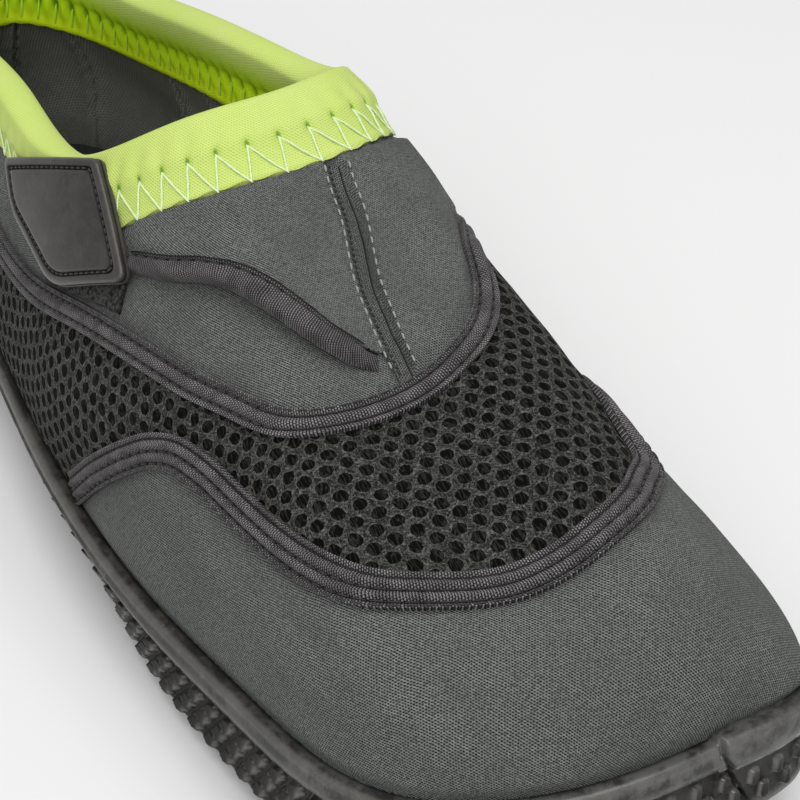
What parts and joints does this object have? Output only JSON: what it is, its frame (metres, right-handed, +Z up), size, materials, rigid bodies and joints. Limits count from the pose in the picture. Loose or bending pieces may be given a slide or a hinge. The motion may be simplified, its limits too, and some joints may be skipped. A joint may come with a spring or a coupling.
{
  "type": "water shoe",
  "caption": "Right water shoe: hollow neoprene and mesh upper with a bound collar, an open instep flap and a rubber strap tab, on a lugged rubber cup sole.",
  "frame": {"origin": "on the floor, under the centre of the shoe's bounding box", "axes": "+Y from toe to heel, +X to the inner (big toe) side, +Z up from the floor"},
  "size_m": [0.0932, 0.2671, 0.0902],
  "materials": {
    "rubber": "satin moulded",
    "foam": "cloth-covered foam",
    "neoprene": "knitted face, matte",
    "stretch_binding": "soft stretch knit, matte",
    "woven_tape": "ribbed weave",
    "loop_pile": "brushed loop pile"
  },
  "bodies": {
    "root": {"outsole": "rubber", "strap_tab": "rubber", "insole": "foam", "upper": "neoprene", "instep_flap": "neoprene", "instep_seam": "neoprene", "collar_binding": "stretch_binding", "throat_tape": "woven_tape", "toe_tape": "woven_tape", "flap_binding": "woven_tape", "loop_patch": "loop_pile"}
  },
  "joints": []
}
